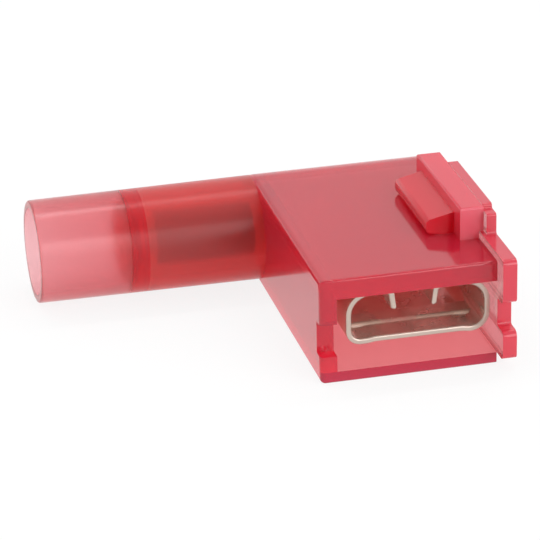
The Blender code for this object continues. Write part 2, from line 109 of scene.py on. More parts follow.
def length(name, millimetres, description):
    """A length with a plain name, given in millimetres."""
    return FloatProperty(name=name, description=description, default=millimetres * MM,
                         unit="LENGTH", precision=5)


def colour(name, value, description):
    """A colour with a plain name."""
    return FloatVectorProperty(name=name, description=description, default=value,
                               subtype="COLOR", size=len(value), min=0.0, max=1.0)


class HousingSizes(PropertyGroup):
    width: length("Width", 9.35, "Box from its left wall to the open right side")
    height: length("Height", 5.72, "Box from its underside to its top")
    depth: length("Depth", 14.40, "Box from its mouth to the axis of the tube")
    wall_left: length("Left wall", 0.89, "Thickness of the left wall")
    wall_top: length("Top wall", 1.09, "Thickness of the top wall")
    wall_bottom: length("Bottom wall", 0.62, "Thickness of the bottom wall")
    wall_rear: length("Rear wall", 0.82, "Thickness of the round rear wall")
    edge_radius: length("Edge radius", 0.30, "Rounding of the long left edges")
    front_radius: length("Front edge radius", 0.15, "Rounding of the mouth's outer edges")
    inner_radius: length("Inner radius", 0.22, "Rounding in the corners of the cavity")
    notch_depth: length("Notch depth", 0.72, "Notch in the front edge of the left wall")
    notch_height: length("Notch height", 1.78, "Height of that notch")
    notch_above_floor: length("Notch above floor", 0.86, "Underside of the notch")
    tube_length: length("Tube length", 12.18, "Insulation tube outside the box")
    tube_radius: length("Tube radius", 2.845, "Radius of the tube at the box")
    tube_end_radius: length("Tube end radius", 2.775, "Radius of the tube at its end")
    rim_radius: length("Rim radius", 0.13, "Rounding of the tube's rim")
    bore_radius: length("Bore radius", 2.37, "Radius of the wire bore at its mouth")
    bore_depth: length("Bore depth", 4.93, "Depth of the wide part of the bore")
    funnel_radius: length("Funnel radius", 2.30, "Radius where the funnel begins")
    throat_radius: length("Throat radius", 0.98, "Radius of the funnel's throat")
    funnel_length: length("Funnel length", 0.80, "Length of the funnel")
    throat_length: length("Throat length", 0.15, "Length of the throat")
    barrel_bore: length("Barrel bore", 1.58, "Radius of the seat of the barrel")
    block_height: length("Block height", 1.73, "Latch block above the top wall")
    block_width: length("Block width", 1.05, "Latch block on the top wall")
    block_length: length("Block length", 8.03, "Latch block along the box")
    block_from_front: length("Block setback", 3.10, "Latch block behind the mouth")
    block_edge: length("Block edge", 0.14, "Rounding of the block's upper edges")
    finger_reach: length("Finger reach", 1.50, "Finger beside the block")
    finger_length: length("Finger length", 5.90, "Length of the finger")
    finger_setback: length("Finger setback", 1.09, "Finger behind the block's front")
    finger_root: length("Finger root height", 1.20, "Height of the finger at the block")
    finger_tip: length("Finger tip height", 0.82, "Height of the finger at its nose")
    finger_nose: length("Finger nose radius", 0.30, "Rounding of the finger's nose")
    finger_relief: length("Finger relief", 0.06, "Gap under the finger's nose")
    finger_foot: length("Finger foot", 1.00, "Width of the finger's foot")


class CoverSizes(PropertyGroup):
    seam: length("Seam", 0.01, "Line between the cover and the box")
    outer: length("Outer face", 10.11, "Outer face from the left side of the box")
    rail: length("Rail", 0.36, "Rail above the top of the box")
    bottom: length("Bottom edge", 0.60, "Bottom edge above the underside")
    corner: length("Corner radius", 0.30, "Rounding of the tabs' corners")
    edge: length("Edge radius", 0.08, "Rounding of the outer edges")
    upper_reach: length("Upper tab reach", 0.93, "Upper tab ahead of the box")
    upper_bottom: length("Upper tab bottom", 3.68, "Bottom of the upper tab")
    lower_reach: length("Lower tab reach", 1.00, "Lower tab ahead of the box")
    lower_top: length("Lower tab top", 2.14, "Top of the lower tab")
    rail_end: length("Rail end", 0.80, "End of the rail ahead of the tube's axis")
    upright_thickness: length("Upright thickness", 0.53, "Upright beside the block")
    upright_length: length("Upright length", 7.00, "Upright along the box")
    upright_setback: length("Upright setback", 2.64, "Upright behind the mouth")
    ledge_length: length("Ledge length", 0.78, "Step at the front of the upright")
    ledge_drop: length("Ledge drop", 0.25, "Step below the block's top")


class StampingSizes(PropertyGroup):
    stock: length("Stock", 0.30, "Thickness of the sheet")
    width: length("Width", 7.65, "Receptacle over its rolls")
    height: length("Height", 2.92, "Receptacle over floor and rolls")
    run: length("Length", 6.35, "Receptacle along the tab")
    setback: length("Setback", 0.85, "Mouth of the receptacle behind the box's")
    below_ceiling: length("Below ceiling", 0.13, "Rolls below the top wall")
    right_face: length("Right face", 9.24, "Right roll from the left side of the box")
    roll_left: length("Lower left radius", 0.78, "Outer radius of the left roll below")
    roll_right: length("Lower right radius", 1.02, "Outer radius of the right roll below")
    roll_top: length("Upper roll radius", 1.28, "Outer radius of the rolls above")
    tip_bend: length("Tip bend", 0.30, "Bend of the turned-down tips")
    tip_drop: length("Tip drop", 1.17, "Tips below the top of the rolls")
    tip_gap: length("Tip gap", 2.13, "Distance between the tips")
    tip_offset: length("Tip offset", -0.23, "Tips to the left of the middle")
    tip_slant: length("Tip slant", 0.10, "Lean of the tips")
    tip_radius: length("Tip radius", 0.13, "Rounding of the sheet's end at each tip")
    coined: length("Coined edge", 0.11, "Lead-in pressed round the inside of the mouth")
    floor_bow: length("Floor bow", 0.06, "Raised middle of the floor")
    bead_rise: length("Bead rise", 0.20, "Level of the bead over the floor's edges")
    bead_setback: length("Bead setback", 1.72, "Bead behind the mouth")
    bead_width: length("Bead width", 0.90, "Width of the bead")
    bead_slope: length("Bead slope", 0.22, "Slope at each side of the bead")
    strap_width: length("Strap width", 3.30, "Strap behind the receptacle")
    strap_arm: length("Strap arm", 2.60, "Strap where it turns to the barrel")
    neck_length: length("Neck length", 1.80, "Neck from the strap to the barrel")
    barrel_radius: length("Barrel radius", 1.46, "Outer radius of the wire barrel")
    barrel_wall: length("Barrel wall", 0.42, "Wall of the wire barrel")
    barrel_flare: length("Barrel flare", 0.04, "Flare of the barrel's mouth")
    barrel_gap: length("Barrel gap", 0.60, "Space between the barrel and the throat")
    # The barrel's painted shade stops this far ahead of the box
    barrel_light: length("Barrel light end", 0.35, "Light end of the barrel ahead of the box")


class FinishSettings(PropertyGroup):
    nylon_tint: colour("Nylon tint", (0.9995, 0.30, 0.36), "What a long way through lets pass")
    nylon_density: FloatProperty(name="Nylon density", default=1900.0, min=0.0,
                                 description="How fast the nylon takes up light, per metre")
    nylon_milk: FloatProperty(name="Nylon milk", default=750.0, min=0.0,
                              description="How fast the box scatters light, per metre")
    tube_milk: FloatProperty(name="Tube milk", default=600.0, min=0.0,
                             description="How fast the tube scatters light, per metre")
    nylon_forward: FloatProperty(name="Nylon forward", default=0.75, min=-0.9, max=0.9,
                                 description="How far scattered light keeps its way")
    clear_nylon: colour("Clear nylon", (1.0, 0.97, 0.97), "Skin of the thin walls")
    # Painted light: paler than the box nylon, a glow of light through the cavity's floor
    inner_nylon: colour("Inner nylon", (0.88, 0.45, 0.45), "Skin of the walls inside the box")
    tube_nylon: colour("Tube nylon", (1.0, 0.19, 0.18), "Skin of the tube round the barrel")
    box_nylon: colour("Box nylon", (0.88, 0.04, 0.10), "Skin of the box's outer faces")
    sill_nylon: colour("Sill nylon", (0.48, 0.01, 0.045), "Skin of the front of the bottom wall")
    edge_nylon: colour("Edge nylon", (1.0, 0.08, 0.13), "Skin of the block and of the edges")
    finger_nylon: colour("Finger nylon", (1.0, 0.02, 0.05), "Skin of the finger")
    # Painted light: lighter than the edge nylon, as if the block's front stood lit from the front
    lit_front_nylon: colour("Nose nylon", (1.0, 0.17, 0.23), "Skin of the front of the block")
    throat_nylon: colour("Throat nylon", (1.0, 0.04, 0.07), "Skin of the tube round the throat")
    # Painted light: pale skin for the glow of light through the walls beside the metal
    glow_wall_nylon: colour("Recess nylon", (1.0, 0.74, 0.66), "Skin of the walls beside the metal")
    tin: colour("Tin plate", (0.88, 0.77, 0.69), "Bright tin on the stamping")
    # Painted shade: tin darkened for the faces that turn into the receptacle
    shaded_tin: colour("Shaded tin", (0.82, 0.66, 0.57), "Inside of the receptacle")
    cut: colour("Cut edge", (0.60, 0.49, 0.42), "Bare edge of the sheet at the mouth")
    # Painted shade: near black for the tin barrel where it lies in the tube's shade
    barrel: colour("Barrel", (0.008, 0.003, 0.002), "Dark metal of the barrel in the tube")
    floor: colour("Floor", (0.93, 0.93, 0.93), "Pale floor of the studio")


class StageSettings(PropertyGroup):
    azimuth: FloatProperty(name="Azimuth", default=0.23310629, subtype="ANGLE",
                           description="Camera turned about the vertical")
    elevation: FloatProperty(name="Elevation", default=0.4150571, subtype="ANGLE",
                             description="Camera above the horizon")
    roll: FloatProperty(name="Roll", default=-0.0205519, subtype="ANGLE",
                        description="Camera turned about its own axis")
    lens: FloatProperty(name="Lens", default=217.042, min=10.0,
                        description="Focal length for a sensor 36 mm wide")
    distance: length("Distance", 168.194, "Camera from the middle of the picture")
    aim_right: length("Aim right", -6.3563, "Middle of the picture, to the right")
    aim_up: length("Aim up", 1.8665, "Middle of the picture, upwards")
    tube_steps: IntProperty(name="Tube steps", default=128, min=16,
                            description="Steps round the tube")


# Rotations that stand a flat outline up
ALONG_X = Matrix(((0, 0, 1, 0), (1, 0, 0, 0), (0, 1, 0, 0), (0, 0, 0, 1)))
ALONG_Y = Matrix(((1, 0, 0, 0), (0, 0, -1, 0), (0, 1, 0, 0), (0, 0, 0, 1)))
UPRIGHT = Matrix.Identity(4)
ALONG_TUBE = Matrix.Rotation(-math.pi / 2, 4, "Y")


class Places:
    """Positions that the pieces share, from the sizes in the sidebar."""

    def __init__(self, scene):
        box = scene.housing_sizes
        cover = scene.cover_sizes
        metal = scene.stamping_sizes
        self.left = -box.width / 2
        self.right = box.width / 2
        self.front = -box.depth / 2
        self.tube_y = box.depth / 2
        self.tube_z = box.height / 2
        self.floor = box.wall_bottom
        self.ceiling = box.height - box.wall_top
        self.funnel_bottom = box.tube_length - box.bore_depth
        self.shoulder = self.funnel_bottom - box.funnel_length - box.throat_length
        self.cover_inner = self.right + cover.seam
        self.cover_outer = self.left + cover.outer
        self.cover_top = box.height + cover.rail
        self.block_front = self.front + box.block_from_front
        self.block_rear = self.block_front + box.block_length
        self.block_left = self.right - box.block_width
        self.block_right = self.cover_outer - cover.upright_thickness - cover.seam
        self.block_top = box.height + box.block_height
        self.upright_front = self.front + cover.upright_setback
        self.upright_rear = self.upright_front + cover.upright_length
        self.metal_right = self.left + metal.right_face
        self.metal_left = self.metal_right - metal.width
        self.metal_x = (self.metal_left + self.metal_right) / 2
        self.metal_front = self.front + metal.setback
        self.metal_rear = self.metal_front + metal.run
        self.metal_top = self.ceiling - metal.below_ceiling
        self.metal_bottom = self.metal_top - metal.height
        self.floor_middle = self.metal_bottom + metal.stock / 2
        self.neck_start = self.left + box.wall_left + 1.0 * MM


def arc_points(centre, radius, start, end, steps):
    """Points on an arc in a plane, from the start angle to the end angle."""
    points = []
    for step in range(steps + 1):
        angle = start + (end - start) * step / steps
        points.append((centre[0] + radius * math.cos(angle), centre[1] + radius * math.sin(angle)))
    return points


def ease(value):
    """A soft start and end between 0 and 1."""
    value = min(1.0, max(0.0, value))
    return value * value * (3 - 2 * value)


def rounded(points, radii, steps=8):
    """A closed outline with each corner replaced by an arc of its own radius."""
    result = []
    count = len(points)
    for index in range(count):
        corner = Vector(points[index])
        radius = radii[index]
        if radius <= 0:
            result.append(tuple(corner))
            continue
        before = (Vector(points[index - 1]) - corner).normalized()
        after = (Vector(points[(index + 1) % count]) - corner).normalized()
        half = before.angle(after) / 2
        reach = radius / math.tan(half)
        centre = corner + (before + after).normalized() * (radius / math.sin(half))
        first = corner + before * reach - centre
        last = corner + after * reach - centre
        turn = first.angle_signed(last)
        base = math.atan2(first.y, first.x)
        for step in range(steps + 1):
            angle = base - turn * step / steps
            result.append((centre.x + radius * math.cos(angle), centre.y + radius * math.sin(angle)))
    return result


def placed(name, data):
    """An object that holds the data, linked into the scene."""
    item = bpy.data.objects.new(name, data)
    bpy.context.scene.collection.objects.link(item)
    return item


def mesh_from(name, bm):
    """A mesh from the faces that were built, which are used up."""
    mesh = bpy.data.meshes.new(name)
    bm.to_mesh(mesh)
    bm.free()
    return mesh


@contextmanager
def edited(mesh):
    """The faces of a mesh to work on, written back to it at the end."""
    bm = bmesh.new()
    bm.from_mesh(mesh)
    yield bm
    bm.to_mesh(mesh)
    bm.free()


def settled(item, name):
    """A plain mesh object with the shape that a curve or the modifiers give."""
    bpy.context.view_layer.update()
    graph = bpy.context.evaluated_depsgraph_get()
    mesh = bpy.data.meshes.new_from_object(item.evaluated_get(graph))
    mesh.transform(item.matrix_world)
    bpy.data.objects.remove(item, do_unlink=True)
    with edited(mesh) as bm:
        bmesh.ops.remove_doubles(bm, verts=bm.verts, dist=2e-7)
        bmesh.ops.recalc_face_normals(bm, faces=bm.faces)
    return placed(name, mesh)


def extruded(name, outline, start, end, stand):
    """A flat outline given thickness, from start to end along its own axis."""
    curve = bpy.data.curves.new(name, "CURVE")
    curve.dimensions = "2D"
    curve.fill_mode = "BOTH"
    curve.extrude = abs(end - start) / 2
    spline = curve.splines.new("POLY")
    spline.points.add(len(outline) - 1)
    for point, (across, up) in zip(spline.points, outline):
        point.co = (across, up, 0, 1)
    spline.use_cyclic_u = True
    item = placed(name, curve)
    middle = (start + end) / 2
    if stand == ALONG_Y:
        middle = -middle
    item.matrix_world = stand @ Matrix.Translation((0, 0, middle))
    return settled(item, name)


def turned(name, profile, steps, place, closed=False):
    """A profile of (radius, distance) points turned about the tube's axis."""
    mesh = bpy.data.meshes.new(name)
    edges = [(index, index + 1) for index in range(len(profile) - 1)]
    if closed:
        edges.append((len(profile) - 1, 0))
    mesh.from_pydata([(radius, 0, height) for radius, height in profile], edges, [])
    item = placed(name, mesh)
    screw = item.modifiers.new("Turn", "SCREW")
    screw.axis = "Z"
    screw.angle = 2 * math.pi
    screw.steps = steps
    screw.render_steps = steps
    screw.use_merge_vertices = True
    screw.merge_threshold = 1e-7
    item.matrix_world = Matrix.Translation(place) @ ALONG_TUBE
    return settled(item, name)


def block_between(name, low, high):
    """A rectangular tool for a cut, between two corners."""
    bm = bmesh.new()
    bmesh.ops.create_cube(bm, size=1.0)
    low = Vector(low)
    high = Vector(high)
    bmesh.ops.scale(bm, vec=high - low, verts=bm.verts)
    bmesh.ops.translate(bm, vec=(low + high) / 2, verts=bm.verts)
    return placed(name, mesh_from(name, bm))


def round_edges(item, weight, radius, steps):
    """Round the sharp edges to a radius times the weight given for each edge."""
    with edited(item.data) as bm:
        layer = bm.edges.layers.float.new("bevel_weight_edge")
        for edge in bm.edges:
            if edge.calc_face_angle(0) > math.radians(35):
                edge[layer] = weight(edge.verts[0].co, edge.verts[1].co)
    bevel = item.modifiers.new("Round edges", "BEVEL")
    bevel.limit_method = "WEIGHT"
    bevel.offset_type = "OFFSET"
    bevel.width = radius
    bevel.segments = steps
    return settled(item, item.name)


def combine(item, tools, operation):
    """Join to, or cut from, a piece with tools that are used up."""
    for tool in tools:
        modifier = item.modifiers.new(tool.name, "BOOLEAN")
        modifier.operation = operation
        modifier.solver = "EXACT"
        modifier.object = tool
    result = settled(item, item.name)
    for tool in tools:
        bpy.data.objects.remove(tool, do_unlink=True)
    return result


def divide(item, place, normal):
    """Divide the faces of a piece along a plane, so that they can have skins of their own."""
    with edited(item.data) as bm:
        parts = bm.verts[:] + bm.edges[:] + bm.faces[:]
        bmesh.ops.bisect_plane(bm, geom=parts, dist=1e-7, plane_co=place, plane_no=normal)


def smooth(item):
    """Even shading over the curved faces, with the sharper edges kept."""
    item.data.shade_smooth()
    item.data.set_sharp_from_angle(angle=math.radians(38))
    weighted = item.modifiers.new("Even shading", "WEIGHTED_NORMAL")
    weighted.keep_sharp = True
    weighted.weight = 60


def soften(item, width, steps, chosen, clamp=True):
    """Break the sharp edges that the test picks, as a mould or a burr-free cut does."""
    with edited(item.data) as bm:
        bmesh.ops.dissolve_limit(bm, angle_limit=math.radians(0.4), verts=bm.verts,
                                 edges=bm.edges, delimit={"MATERIAL"})
        edges = []
        for edge in bm.edges:
            if edge.is_manifold and edge.calc_face_angle(0) > math.radians(40):
                if chosen(edge.verts[0].co, edge.verts[1].co):
                    edges.append(edge)
        bmesh.ops.bevel(bm, geom=edges, offset=width, offset_type="OFFSET", segments=steps,
                        profile=0.5, affect="EDGES", clamp_overlap=clamp)


def add(tree, kind, values=None, operation=None):
    """A new shader node, with the values of its inputs."""
    node = tree.nodes.new("ShaderNode" + kind)
    if operation:
        node.operation = operation
    for socket, value in (values or {}).items():
        node.inputs[socket].default_value = value
    return node


def wire(tree, source, output, target, socket):
    """Link an output of one node to an input of another."""
    tree.links.new(source.outputs[output], target.inputs[socket])


def node_group(name, inputs, outputs):
    """An empty shader node group with named inputs and outputs."""
    group = bpy.data.node_groups.new(name, "ShaderNodeTree")
    for label, kind, value in inputs:
        socket = group.interface.new_socket(name=label, in_out="INPUT", socket_type=kind)
        socket.default_value = value
    for label, kind in outputs:
        group.interface.new_socket(name=label, in_out="OUTPUT", socket_type=kind)
    return group, group.nodes.new("NodeGroupInput"), group.nodes.new("NodeGroupOutput")


def moulded_skin():
    """Slow waves and fine grain of a moulded or plated skin."""
    name = "moulded_skin"
    if name in bpy.data.node_groups:
        return bpy.data.node_groups[name]
    sockets = [("Roughness", "NodeSocketFloat", 0.1), ("Change", "NodeSocketFloat", 0.04),
               ("Wave Scale", "NodeSocketFloat", 300.0), ("Grain Scale", "NodeSocketFloat", 6000.0),
               ("Grain Share", "NodeSocketFloat", 0.2)]
    outs = [("Roughness", "NodeSocketFloat"), ("Height", "NodeSocketFloat"),
            ("Mask", "NodeSocketFloat")]
    group, source, target = node_group(name, sockets, outs)
    place = add(group, "TexCoord")
    wave = add(group, "TexNoise", {"Detail": 2.0})
    grain = add(group, "TexNoise", {"Detail": 3.0})
    for noise, scale in ((wave, "Wave Scale"), (grain, "Grain Scale")):
        wire(group, place, "Object", noise, "Vector")
        wire(group, source, scale, noise, "Scale")
    blend = add(group, "Mix")
    wire(group, source, "Grain Share", blend, "Factor")
    wire(group, wave, "Fac", blend, "A")
    wire(group, grain, "Fac", blend, "B")
    spread = add(group, "Math", {1: 0.5}, "SUBTRACT")
    wire(group, wave, "Fac", spread, 0)
    rough = add(group, "Math", None, "MULTIPLY_ADD")
    wire(group, spread, 0, rough, 0)
    wire(group, source, "Change", rough, 1)
    wire(group, source, "Roughness", rough, 2)
    wire(group, rough, 0, target, "Roughness")
    wire(group, blend, "Result", target, "Height")
    wire(group, wave, "Fac", target, "Mask")
    return group


def dressed(material, roughness, change, wave, grain, share, relief, tones):
    """Give a material its skin: uneven gloss, relief and two close tones."""
    tree = material.node_tree
    shader = tree.nodes["Principled BSDF"]
    skin = add(tree, "Group")
    skin.node_tree = moulded_skin()
    values = {"Roughness": roughness, "Change": change, "Wave Scale": wave,
              "Grain Scale": grain, "Grain Share": share}
    for socket, value in values.items():
        skin.inputs[socket].default_value = value
    bump = add(tree, "Bump", {"Strength": 1.0, "Distance": relief})
    tone = add(tree, "Mix")
    tone.data_type = "RGBA"
    tone.inputs["A"].default_value = (*tones[0], 1.0)
    tone.inputs["B"].default_value = (*tones[1], 1.0)
    wire(tree, skin, "Mask", tone, "Factor")
    wire(tree, tone, "Result", shader, "Base Color")
    wire(tree, skin, "Roughness", shader, "Roughness")
    wire(tree, skin, "Height", bump, "Height")
    wire(tree, bump, "Normal", shader, "Normal")
    return shader


def shade(colour_value, factor):
    """A colour made lighter or darker."""
    return tuple(min(1.0, channel * factor) for channel in colour_value)


def nylon_material(name, finish, tone, roughness, clear, milkiness, gloss=0.5, share=1.0,
                   bend=1.53):
    """Milky see-through red nylon. The clearer its skin is, the more of its body shows.

    share is how much of the body's colour it has, and bend its refractive index.
    """
    if name in bpy.data.materials:
        return bpy.data.materials[name]
    material = bpy.data.materials.new(name)
    material.use_nodes = True
    tree = material.node_tree
    tone = tuple(tone)
    shader = dressed(material, roughness, 0.04, 260.0, 5000.0, 0.12, 1.2e-6,
                     (tone, shade(tone, 0.98)))
    shader.inputs["Transmission Weight"].default_value = clear
    shader.inputs["IOR"].default_value = bend
    shader.inputs["Specular IOR Level"].default_value = gloss
    body = add(tree, "VolumeAbsorption", {"Color": (*finish.nylon_tint, 1.0),
                                          "Density": finish.nylon_density * share})
    milk = add(tree, "VolumeScatter", {"Color": (1.0, 1.0, 1.0, 1.0), "Density": milkiness,
                                       "Anisotropy": finish.nylon_forward})
    both = add(tree, "AddShader")
    wire(tree, body, "Volume", both, 0)
    wire(tree, milk, "Volume", both, 1)
    wire(tree, both, "Shader", tree.nodes["Material Output"], "Volume")
    material.diffuse_color = (0.75, 0.08, 0.12, 1.0)
    return material


def add_skins(item, skins, finish):
    """Give a moulding its skins, in the order of the list."""
    item.data.materials.clear()
    for name, tone, roughness, clear, milk, others in skins:
        item.data.materials.append(nylon_material(name, finish, getattr(finish, tone), roughness,
                                                  clear, getattr(finish, milk), **others))


def metal_material(name, colour_value, roughness, relief, gloss):
    """Plated or bare metal with a fine grain."""
    if name in bpy.data.materials:
        return bpy.data.materials[name]
    material = bpy.data.materials.new(name)
    material.use_nodes = True
    base = tuple(colour_value)
    shader = dressed(material, roughness, 0.12, 900.0, 16000.0, 0.5, relief,
                     (base, shade(base, 0.88)))
    shader.inputs["Metallic"].default_value = 0.75
    shader.inputs["Specular IOR Level"].default_value = gloss
    material.diffuse_color = (*base, 1.0)
    return material


def d_outline(front, axis_y, bottom, top, steps):
    """Side view of a box whose rear is half round."""
    radius = (top - bottom) / 2
    rear = arc_points((axis_y, (top + bottom) / 2), radius, -math.pi / 2, math.pi / 2, steps)
    return [(front, top), (front, bottom)] + rear


def box_ring(at, box, inset):
    """Side outline of the box, drawn in by the inset, with its two front corners rounded."""
    front = at.front + inset
    top = box.height - inset
    corner = max(box.front_radius - inset, 0)
    ring = arc_points((front + corner, top - corner), corner, math.pi / 2, math.pi, 6)
    ring += arc_points((front + corner, inset + corner), corner, math.pi, 3 * math.pi / 2, 6)
    radius = box.height / 2
    return ring + arc_points((at.tube_y, radius), radius - inset, -math.pi / 2, math.pi / 2, 72)


def box_shell(at, box):
    """The box as rings from its rounded left edge to its open right side."""
    places = []
    for step in range(9):
        angle = step / 8 * math.pi / 2
        places.append((at.left + box.edge_radius * (1 - math.cos(angle)),
                       box.edge_radius * (1 - math.sin(angle))))
    places.append((at.right, 0.0))
    bm = bmesh.new()
    rings = []
    for x, inset in places:
        rings.append([bm.verts.new((x, y, z)) for y, z in box_ring(at, box, inset)])
    for near, far in zip(rings, rings[1:]):
        for index, corner in enumerate(near):
            bm.faces.new((near[index - 1], corner, far[index], far[index - 1]))
    bm.faces.new(rings[0])
    bm.faces.new(list(reversed(rings[-1])))
    bmesh.ops.remove_doubles(bm, verts=bm.verts, dist=1e-7)
    bmesh.ops.recalc_face_normals(bm, faces=bm.faces)
    return placed("housing_moulding", mesh_from("housing_moulding", bm))


def wire_tube(at, box, steps):
    """Tube for the wire, a little tapered, with a round rim and its root in the left wall."""
    rim = box.rim_radius
    end = box.tube_end_radius
    profile = [(0, box.tube_length)]
    profile += arc_points((end - rim, box.tube_length - rim), rim, math.pi / 2, 0, 6)
    share = at.funnel_bottom / box.tube_length
    middle = box.tube_radius + (end - box.tube_radius) * share
    profile.append((middle, at.funnel_bottom))
    root = -0.6 * box.wall_left
    profile += [(box.tube_radius, 0), (box.tube_radius, root), (0, root)]
    return turned("wire_tube", profile, steps, (at.left, at.tube_y, at.tube_z))


def bore_tool(at, box, steps):
    """Wire bore, funnel, throat and the seat of the barrel, as one stepped hole."""
    past = 0.5 * MM
    lip = 0.07 * MM
    top = box.tube_length
    profile = [(0, top + past), (box.bore_radius + lip, top + past)]
    profile += arc_points((box.bore_radius + lip, top - lip), lip, math.pi / 2, math.pi, 4)
    span = box.funnel_radius - box.throat_radius
    for step in range(11):
        share = step / 10
        profile.append((box.throat_radius + span * (1 - ease(share)),
                        at.funnel_bottom - box.funnel_length * step / 10))
    profile += [(box.throat_radius, at.shoulder), (box.barrel_bore, at.shoulder)]
    profile += [(box.barrel_bore, -box.wall_left - past), (0, -box.wall_left - past)]
    return turned("bore_tool", profile, steps, (at.left, at.tube_y, at.tube_z))


def cavity_tool(at, box):
    """Room for the terminal, open at the front and at the right side."""
    past = 1.0 * MM
    radius = (at.ceiling - at.floor) / 2
    centre = at.tube_y + box.height / 2 - box.wall_rear - radius
    outline = d_outline(at.front - past, centre, at.floor, at.ceiling, 40)
    inner = at.left + box.wall_left
    tool = extruded("cavity_tool", outline, inner, at.right + past, ALONG_X)

    def inner_corner(first, second):
        return float(abs(first.x - inner) < HAIR and abs(second.x - inner) < HAIR)

    return round_edges(tool, inner_corner, box.inner_radius, 5)


def notch_tool(at, box):
    """Notch in the left wall, at the mouth."""
    past = 1.0 * MM
    bottom = at.floor + box.notch_above_floor
    return block_between("notch_tool", (at.left - past, at.front - past, bottom),
                         (at.left + box.wall_left + past, at.front + box.notch_depth,
                          bottom + box.notch_height))


def latch_block(at, box, cover):
    """Block that stands on the top wall and laps over the rail of the cover."""
    root = box.height - 0.4 * box.wall_top
    # Just inside the box's right face, so that no two faces lie in one plane
    side = at.right - 0.02 * MM
    lap = at.cover_top + cover.seam
    outline = [(at.block_left, at.block_top), (at.block_left, root), (side, root)]
    outline += [(side, lap), (at.block_right, lap), (at.block_right, at.block_top)]
    block = extruded("latch_block", outline, at.block_front, at.block_rear, ALONG_Y)

    def upper_edge(first, second):
        if min(first.z, second.z) < at.block_top - HAIR:
            return 0.0
        return 0.12 if min(first.x, second.x) > at.block_right - HAIR else 1.0

    return round_edges(block, upper_edge, box.block_edge, 5)


def side_finger(at, box):
    """Finger beside the block, with a round nose that stands clear of the top."""
    into = 0.25 * MM
    left = at.block_left - box.finger_reach
    under = box.height + box.finger_relief
    foot = at.block_left - box.finger_foot
    outline = [(left, box.height + box.finger_tip), (left, under), (foot, under)]
    outline += [(foot, box.height - into), (at.block_left + into, box.height - into)]
    outline += [(at.block_left + into, box.height + box.finger_root)]
    radii = [box.finger_nose, box.finger_nose, box.finger_relief / 2, 0, 0, 0]
    front = at.block_front + box.finger_setback
    finger = extruded("side_finger", rounded(outline, radii, 10), front,
                      front + box.finger_length, ALONG_Y)

    def end_edge(first, second):
        at_end = abs(first.y - second.y) < HAIR
        clear = min(first.z, second.z) > box.height + 0.02 * MM
        left_of_block = max(first.x, second.x) < at.block_left + HAIR
        return float(at_end and clear and left_of_block)

    return round_edges(finger, end_edge, 0.07 * MM, 3)


def housing_zone(centre, normal, at, box):
    """Which skin a face has, by its place in the list of skins."""
    if centre.x < at.left - at.funnel_bottom:
        return THIN
    if centre.x < at.left - at.shoulder:
        return THROAT
    if centre.x < at.left - HAIR:
        return TUBE
    if centre.z < HAIR and normal.z < -0.9:
        return THIN
    # The cavity, from just behind the mouth to where the rear wall turns round
    within = at.left + box.wall_left - 0.01 * MM < centre.x < at.right - CLOSE
    within = within and at.floor - CLOSE < centre.z < at.ceiling + CLOSE
    if within and at.front + 0.1 * MM < centre.y < at.tube_y + 2.2 * MM:
        # Inside the cavity pale skins give a painted glow: a pink one on the floor, a paler one on
        # the walls, ceiling and rear
        return INSIDE if normal.z > 0.9 else GLOW_WALLS
    if centre.z > box.height + 0.03 * MM:
        if centre.x < at.block_left - HAIR:
            return FINGER
        # The block's forward faces take the lighter skin of painted light
        return LIT_FRONT if normal.y < -0.5 else EDGE
    at_sill = normal.y < -0.3 and centre.z < at.floor and centre.y < at.front + MM
    return SILL if at_sill else BOX


class TERMINAL_OT_housing(Operator):
    """Build the moulded housing with its wire tube, latch block and finger"""

    bl_idname = "terminal.housing"
    bl_label = "Housing"

    def execute(self, context):
        scene = context.scene
        at = Places(scene)
        box = scene.housing_sizes
        steps = scene.stage_settings.tube_steps
        shell = box_shell(at, box)
        joined = [wire_tube(at, box, steps), latch_block(at, box, scene.cover_sizes)]
        joined.append(side_finger(at, box))
        shell = combine(shell, joined, "UNION")
        cuts = [cavity_tool(at, box), bore_tool(at, box, steps), notch_tool(at, box)]
        shell = combine(shell, cuts, "DIFFERENCE")

        divide(shell, (0, 0, at.floor), (0, 0, 1))
        divide(shell, (at.left - at.shoulder, 0, 0), (1, 0, 0))

        add_skins(shell, HOUSING_SKINS, scene.finish_settings)
        for face in shell.data.polygons:
            face.material_index = housing_zone(face.center, face.normal, at, box)

        def mouth_edge(first, second):
            return max(first.y, second.y) < at.front + box.notch_depth + CLOSE

        soften(shell, 0.05 * MM, 2, mouth_edge)
        smooth(shell)
        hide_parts("housing")
        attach(shell, "root")
        return {"FINISHED"}


